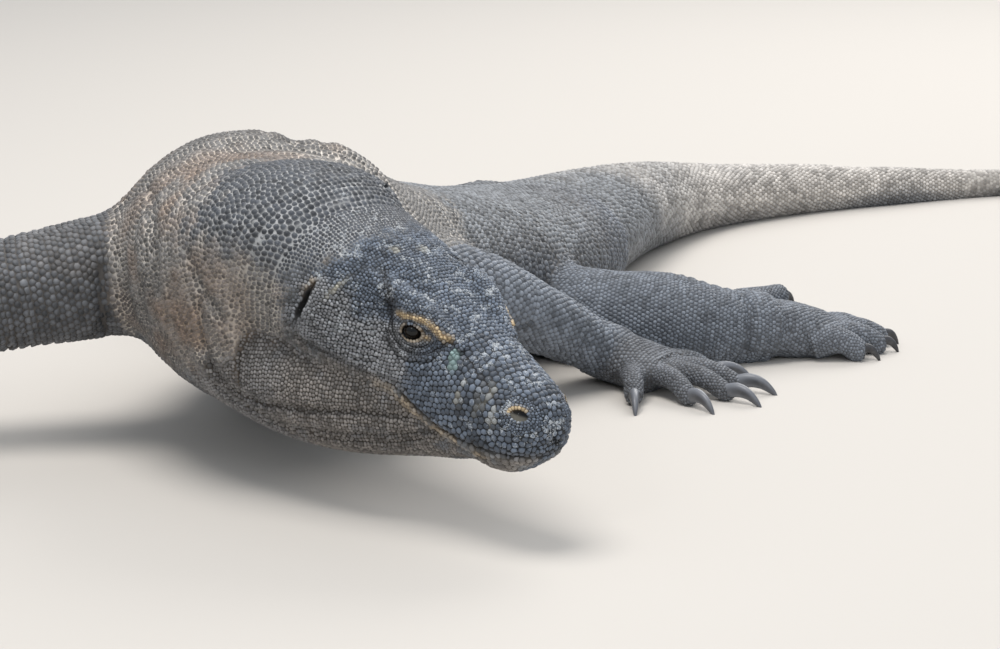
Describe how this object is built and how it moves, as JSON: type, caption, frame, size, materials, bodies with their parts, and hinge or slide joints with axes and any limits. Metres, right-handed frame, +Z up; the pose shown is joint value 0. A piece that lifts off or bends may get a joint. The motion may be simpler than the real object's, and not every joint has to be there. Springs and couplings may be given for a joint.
{
  "type": "komodo dragon",
  "caption": "Life-size still model of a large monitor lizard lying on its belly: head turned to its left, legs sprawled, long curved tail.",
  "frame": {"origin": "middle of the outline seen from above, on the floor", "axes": "+Z up; the tail runs out along +X; the snout points between +X and -Y"},
  "size_m": [1.666, 1.2536, 0.2187],
  "materials": {
    "body_hide": "dull, dry beaded scales, grey-brown with pale skin between them",
    "head_hide": "slate blue plates flecked with white, slightly polished",
    "claw": "grey horn with a soft shine, worn paler on the hands and darker on the feet",
    "eye": "wet gloss, near black"
  },
  "bodies": {
    "root": {"head": "head_hide", "lower_jaw": "head_hide", "neck": "body_hide", "trunk_front": "body_hide", "trunk_rear": "body_hide", "tail_base": "body_hide", "tail_middle": "body_hide", "tail_tip": "body_hide", "right_upper_arm": "body_hide", "right_forearm": "body_hide", "left_upper_arm": "body_hide", "left_forearm": "body_hide", "left_thigh": "body_hide", "left_shank": "body_hide", "right_thigh": "body_hide", "right_shank": "body_hide", "right_hand": "body_hide", "left_hand": "body_hide", "left_foot": "body_hide", "right_foot": "body_hide", "left_eye": "eye", "right_eye": "eye", "right_hand_claw_1": "claw", "right_hand_claw_2": "claw", "right_hand_claw_3": "claw", "right_hand_claw_4": "claw", "right_hand_claw_5": "claw", "left_hand_claw_1": "claw", "left_hand_claw_2": "claw", "left_hand_claw_3": "claw", "left_hand_claw_4": "claw", "left_hand_claw_5": "claw", "left_foot_claw_1": "claw", "left_foot_claw_2": "claw", "left_foot_claw_3": "claw", "left_foot_claw_4": "claw", "left_foot_claw_5": "claw", "right_foot_claw_1": "claw", "right_foot_claw_2": "claw", "right_foot_claw_3": "claw", "right_foot_claw_4": "claw", "right_foot_claw_5": "claw"}
  },
  "joints": []
}
